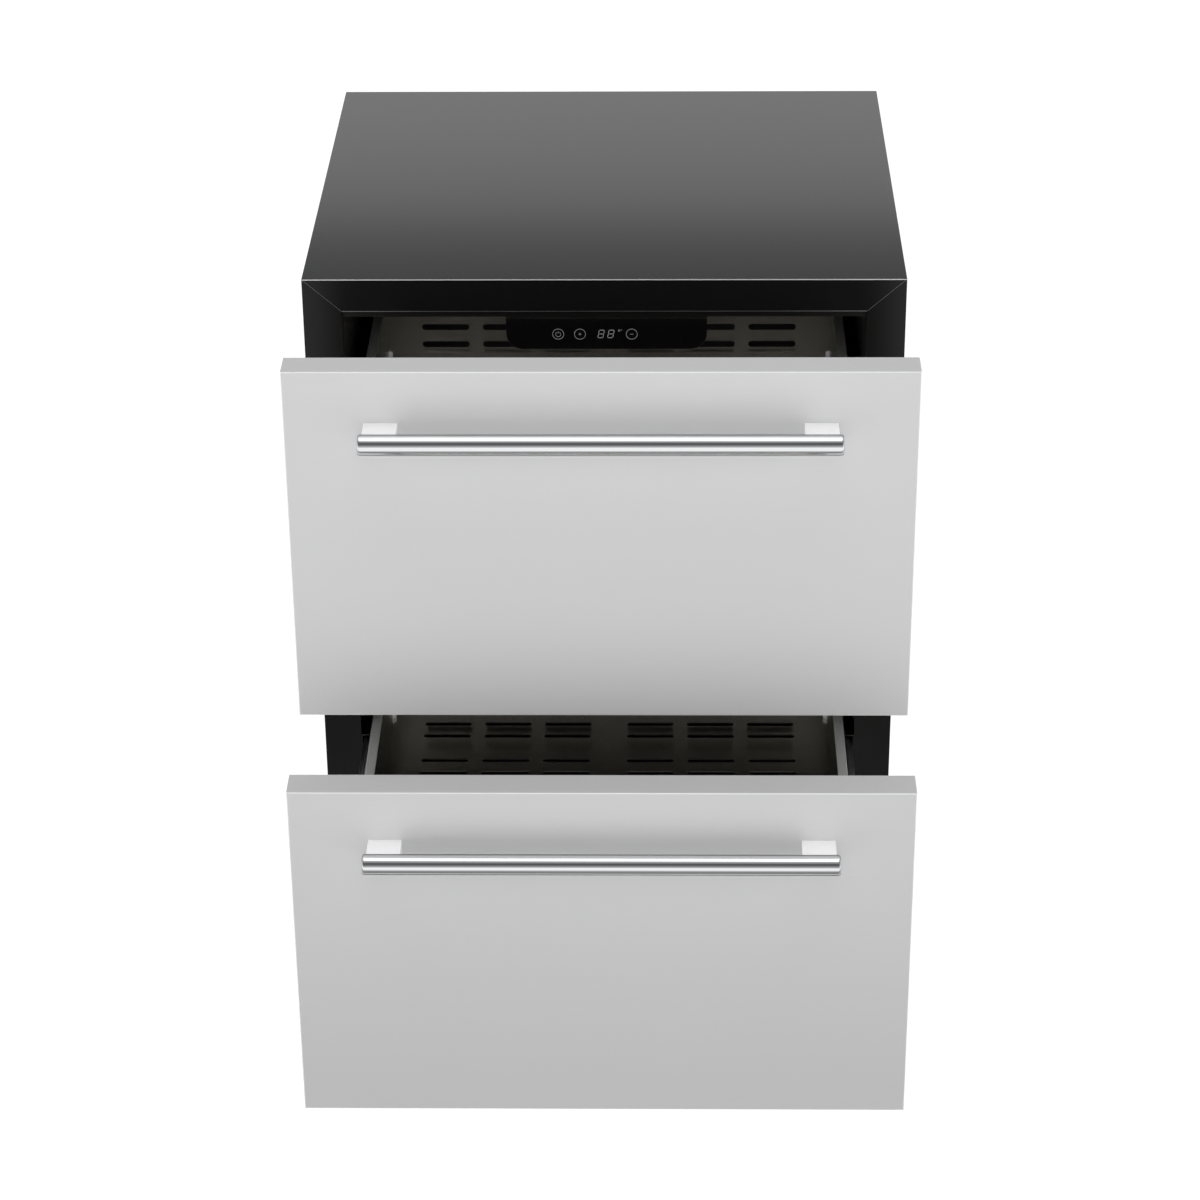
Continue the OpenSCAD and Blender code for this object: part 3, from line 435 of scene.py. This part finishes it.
def strokes(name, lines, width, mat):
    """Flat strokes through lists of (x, z) in millimetres, on the panel's face."""
    bm = bmesh.new()

    def verts(line, rise):
        return [bm.verts.new((p.x, panel_y - rise, p.y + CASE_TOP)) for p in line]

    for line in lines:
        closed = line[0] == line[-1]
        pts = [Vector((a / 1000, b / 1000)) for a, b in (line[:-1] if closed else line)]
        k = len(pts)
        left, right = [], []
        for i, p in enumerate(pts):
            t = Vector((0, 0))
            if closed or i > 0:
                t += (p - pts[i - 1]).normalized()
            if closed or i < k - 1:
                t += (pts[(i + 1) % k] - p).normalized()
            t.normalize()
            across = Vector((-t.y, t.x)) * width / 2000
            left.append(p + across)
            right.append(p - across)
        fl, fr = verts(left, STROKE_RISE), verts(right, STROKE_RISE)
        bl, br = verts(left, 0), verts(right, 0)
        for i in range(k if closed else k - 1):
            j = (i + 1) % k
            bm.faces.new((fl[i], fl[j], fr[j], fr[i]))
            bm.faces.new((bl[i], br[i], br[j], bl[j]))
            bm.faces.new((fl[i], bl[i], bl[j], fl[j]))
            bm.faces.new((fr[i], fr[j], br[j], br[i]))
        if not closed:
            bm.faces.new((fl[0], fr[0], br[0], bl[0]))
            bm.faces.new((fl[-1], bl[-1], br[-1], fr[-1]))
    new_object(name, mesh_of(name, bm), mat, ROOT)


def arc(cx, cz, r, a0=0.0, a1=360.0, n=40):
    turns = [math.radians(a0 + (a1 - a0) * i / n) for i in range(n + 1)]
    pts = [(cx + r * math.cos(t), cz + r * math.sin(t)) for t in turns]
    if a1 - a0 >= 360:
        pts[-1] = pts[0]
    return pts


ROW = -67.5            # middle of the row of symbols, below the top
RING = 5.5             # radius of the rings
THIN, LIT = 0.36, 0.38    # widths of the printed strokes and the lit segments
strokes("symbol_power", [arc(-46.2, ROW, RING), arc(-46.2, ROW - 0.2, 2.5, 120, 420),
                         [(-46.2, ROW + 3.3), (-46.2, ROW + 0.8)]], THIN, "symbol_white")
strokes("symbol_up", [arc(-24.5, ROW, RING), [(-26.0, ROW), (-23.0, ROW)],
                      [(-24.5, ROW - 1.5), (-24.5, ROW + 1.5)]], THIN, "symbol_white")
strokes("symbol_down", [arc(27.1, ROW, RING), [(25.5, ROW), (28.7, ROW)]], THIN,
        "symbol_white")

segs = []
for cx in (-3.4, 6.3):
    def P(u, v):
        """A point of a slanted digit, from -1 to 1 across and up."""
        return (cx + u * 2.6 + v * 0.8, -67.3 + v * 4.1)
    g = 0.2            # gap between segments
    segs += [[P(-1 + g, 1), P(1 - g, 1)], [P(-1 + g, 0), P(1 - g, 0)],
             [P(-1 + g, -1), P(1 - g, -1)],
             [P(-1, 1 - g / 2), P(-1, g / 2)], [P(1, 1 - g / 2), P(1, g / 2)],
             [P(-1, -g / 2), P(-1, -1 + g / 2)], [P(1, -g / 2), P(1, -1 + g / 2)]]
strokes("display_digits", segs, LIT, "symbol_bright")
strokes("display_degree", [arc(14.6, -63.6, 0.8, n=16), [(16.2, -63.1), (17.5, -63.1)]],
        THIN, "symbol_white")


# ---- small hardware ----

rear_grille = formed("rear_grille")

# the sheets of the back are dished round their flat-head screws
INSET = 0.012          # from a screw to the sheet's edge
SEAT = [(0, 0), (0.0019, 0), (0.0046, DISH), (0.0046, DISH + 0.001), (0, DISH + 0.001)]
HEAD = [(0, 0.00004), (0.0014, 0.00004), (0.0038, DISH - 0.00022), (0.0036, DISH - 0.00008),
        (0.0030, DISH - 0.00004), (0.0013, DISH - 0.00004), (0.0010, DISH - 0.0004),
        (0, DISH - 0.00042)]
for o, name in ((rear_panel, "rear_panel"), (rear_grille, "rear_grille")):
    lo, hi = (Vector(v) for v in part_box(name))
    if name == "rear_panel":
        rows = [0.239 + k * 0.153 for k in range(5)]
    else:
        rows = [lo.z + INSET, (lo.z + hi.z) / 2, hi.z - INSET]
    bm, heads = bmesh.new(), bmesh.new()
    for x in (lo.x + INSET, hi.x - INSET):
        for z in rows:
            f = along(Vector((x, hi.y, z)) - Vector((0, DISH, 0)), (0, 1, 0))
            lathe(bm, SEAT, f, 24)
            lathe(heads, HEAD, f, 24)
    cutter = bpy.data.objects.new("dish", mesh_of("dish", bm))
    scene.collection.objects.link(cutter)
    cut = o.modifiers.new("dish", "BOOLEAN")
    cut.operation, cut.solver, cut.object = "DIFFERENCE", "EXACT", cutter
    dished = o.evaluated_get(bpy.context.evaluated_depsgraph_get())
    me = bpy.data.meshes.new_from_object(dished)
    o.modifiers.remove(cut)
    o.data = me
    for f in me.polygons:
        f.use_smooth = False
    bpy.data.objects.remove(cutter)
    new_object(name + "_screws", mesh_of(name + "_screws", heads), "screw_zinc", ROOT)

# folded corner clips at the back of the drawer boxes
CLIP_W, CLIP_D, CLIP_H, CLIP_PEAK = 0.013, 0.009, 0.0052, 0.0012
WALL = 0.0012          # sheet of the box
CURVE = [math.pi / 2 * i / 12 for i in range(13)]
for n in DRAWERS:
    lo, hi = (Vector(v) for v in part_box(n + "_box"))
    y, z = hi.y - WALL, lo.z + WALL
    for s, side in SIDES:
        bm = bmesh.new()
        x = s * 0.238
        top_r, bot_r = [], []
        for a in CURVE:
            u, v = CLIP_W * (1 - math.sin(a)), CLIP_D * (1 - math.cos(a))
            top_r.append(bm.verts.new((x - s * u, y - v, z + CLIP_H)))
            bot_r.append(bm.verts.new((x - s * u, y - v, z)))
        c1 = bm.verts.new((x - s * 0.0003, y - 0.0003, z + CLIP_H + CLIP_PEAK))
        c0 = bm.verts.new((x - s * 0.0003, y - 0.0003, z))
        for i in range(12):
            bm.faces.new((bot_r[i], bot_r[i + 1], top_r[i + 1], top_r[i]))
            bm.faces.new((top_r[i], top_r[i + 1], c1))
            bm.faces.new((bot_r[i + 1], bot_r[i], c0))
        bm.faces.new((bot_r[0], top_r[0], c1, c0))
        bm.faces.new((top_r[-1], bot_r[-1], c0, c1))
        # the clips take the glowing post steel: painted light
        new_object(n + "_box_corner_" + side, mesh_of("corner", bm), "satin_post_painted_glow",
                   n + "_drawer")


# ---- stage, camera and light ----

def plane(name, size, z, mat):
    bm = bmesh.new()
    bmesh.ops.create_grid(bm, x_segments=1, y_segments=1, size=size)
    me = bpy.data.meshes.new(name)
    bm.to_mesh(me)
    bm.free()
    o = bpy.data.objects.new(name, me)
    o.location = (0, 0, z)
    me.materials.append(mat)
    scene.collection.objects.link(o)
    return o


def glowing(name, grey, emission):
    """White light from a surface of a dark grey; returns the material and its shader."""
    m = material(name, (1.0, 1.0, 1.0), 0, 0.9, 3, 0.02, tint=0.0, emission=emission,
                 spec=0.0)
    shader = m.node_tree.nodes["Principled BSDF"]
    mix = shader.inputs["Base Color"].links[0].from_node
    for i in (MIX_A, MIX_B):
        mix.inputs[i].default_value = (grey, grey, grey, 1)
    return m, shader


plane("studio_floor", 12, -0.0005, glowing("studio_floor", 0.04, 1.04)[0])

# a card on the floor ahead of the part, which the camera does not see: its light falls off
# towards the part, and darkens the lower edges of the polished bars
card_mat, shader = glowing("card_grey", 0.02, 1.0)
tree = card_mat.node_tree
place = tree.nodes.new("ShaderNodeTexCoord")
split = tree.nodes.new("ShaderNodeSeparateXYZ")
tree.links.new(place.outputs["Object"], split.inputs[0])
fall = map_range(tree, split.outputs["Y"], 0.15, -0.9, 0.25, 0.98)
tree.links.new(fall.outputs[0], shader.inputs["Emission Strength"])
card = plane("floor_card", 1.0, 0.0005, card_mat)
card.scale = (1.6, 0.38, 1)
card.location = (0, -0.80 + CASE_FRONT, 0.0005)
card.visible_camera = False

# the camera that was solved from the straight edges in the photograph
cam = bpy.data.cameras.new("camera")
cam.lens = 101.544
cam.sensor_width = 36
cam_o = bpy.data.objects.new("camera", cam)
scene.collection.objects.link(cam_o)
yaw, pitch, roll = -0.0200737448, 0.493355584, -0.00889735846
F = Vector((math.sin(yaw) * math.cos(pitch), math.cos(yaw) * math.cos(pitch),
            -math.sin(pitch)))
R = Vector((math.cos(yaw), -math.sin(yaw), 0))
U = R.cross(F)
right = math.cos(roll) * R + math.sin(roll) * U
up = -math.sin(roll) * R + math.cos(roll) * U
m = Matrix((right, up, -F)).transposed().to_4x4()
m.translation = Vector((0.0552202811, -3.07402989 + CASE_FRONT, 1.29580427 + CASE_TOP))
cam_o.matrix_world = m
scene.camera = cam_o
scene.view_settings.view_transform = "Standard"

world = bpy.data.worlds.new("studio")
scene.world = world
world.use_nodes = True
nt = world.node_tree
place = nt.nodes.new("ShaderNodeTexCoord")
sep = nt.nodes.new("ShaderNodeSeparateXYZ")
nt.links.new(place.outputs["Generated"], sep.inputs[0])


def elevation(stops):
    """Grey level by the sine of the elevation."""
    r = nt.nodes.new("ShaderNodeValToRGB")
    nt.links.new(sep.outputs["Z"], r.inputs[0])
    e = r.color_ramp.elements
    e[0].position, e[1].position = stops[0][0], stops[-1][0]
    for k, (pos, v) in enumerate(stops):
        el = e[0] if k == 0 else e[-1] if k == len(stops) - 1 else e.new(pos)
        el.color = (v, v, v * 1.02, 1)
    return r.outputs[0]


# towards -y (before the part) and towards +y (behind it)
before = elevation([(0.0, 0.68), (0.1, 0.5), (0.26, 0.3), (0.45, 0.15), (0.63, 0.08),
                    (0.72, 0.15), (0.84, 0.35), (0.92, 0.5), (0.97, 0.85), (1.0, 1.0)])
behind = elevation([(0.0, 0.95), (0.30, 1.05), (0.335, 0.95), (0.355, 0.42), (0.38, 0.12),
                    (0.45, 0.08), (0.52, 0.4), (0.60, 1.0), (0.84, 1.0), (1.0, 1.3)])
turn = map_range(nt, sep.outputs["Y"], -0.25, 0.45)
turn.interpolation_type = "SMOOTHSTEP"
sky = nt.nodes.new("ShaderNodeMix")
sky.data_type = "RGBA"
nt.links.new(turn.outputs[0], sky.inputs[0])
nt.links.new(before, sky.inputs[MIX_A])
nt.links.new(behind, sky.inputs[MIX_B])
nt.links.new(sky.outputs[MIX_OUT], nt.nodes["Background"].inputs["Color"])


def softbox(name, loc, aim, size, power, glossy=True):
    l = bpy.data.lights.new(name, "AREA")
    l.shape = "RECTANGLE"
    l.size, l.size_y = size
    l.energy = power
    o = bpy.data.objects.new(name, l)
    o.location = loc
    o.rotation_euler = (Vector(aim) - Vector(loc)).to_track_quat("-Z", "Y").to_euler()
    o.visible_camera = False
    o.visible_glossy = glossy
    scene.collection.objects.link(o)


softbox("top_softbox", (0, -0.6, 3.4), (0, -0.3, 0.5), (2.4, 1.2), 8)
softbox("front_softbox", (0, -3.7, 2.1), (0, 0, 0.5), (2.6, 4.0), 75, glossy=False)
softbox("back_card", (0, 0.72, 1.02), (0, 0.2, 0.865), (1.3, 0.2), 0.6)
softbox("left_softbox", (-2.6, -1.6, 1.6), (0, 0, 0.5), (1.4, 2.0), 2)
softbox("right_softbox", (2.6, -1.6, 1.6), (0, 0, 0.5), (1.4, 2.0), 2)
